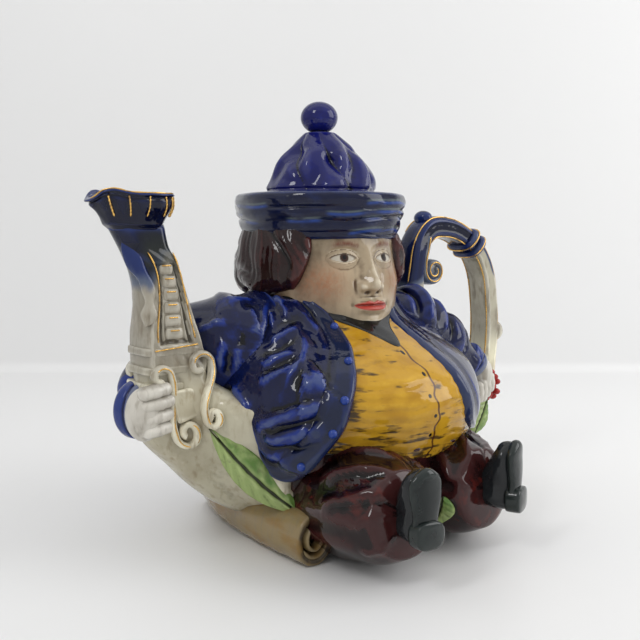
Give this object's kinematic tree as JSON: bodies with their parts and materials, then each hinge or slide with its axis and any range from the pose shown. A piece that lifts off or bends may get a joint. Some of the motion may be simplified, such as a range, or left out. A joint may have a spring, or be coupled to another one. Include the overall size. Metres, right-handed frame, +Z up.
{
  "type": "toby teapot",
  "caption": "Glazed earthenware toby teapot: a stout seated man in a blue coat and cap, a pillar spout in his right hand and the handle in his left, with a lift-off cap-crown lid.",
  "frame": {"origin": "on the flat foot, straight below the middle of the lid", "axes": "+X from the spout towards the handle, +Y from the man's front towards his back, +Z up"},
  "size_m": [0.2481, 0.176, 0.2036],
  "materials": {
    "painted_glaze": "high gloss glaze over hand-painted colours, with worn edges",
    "cobalt_glaze": "high gloss cobalt blue glaze"
  },
  "bodies": {
    "root": {"pot": "painted_glaze", "lid": "cobalt_glaze"}
  },
  "joints": []
}
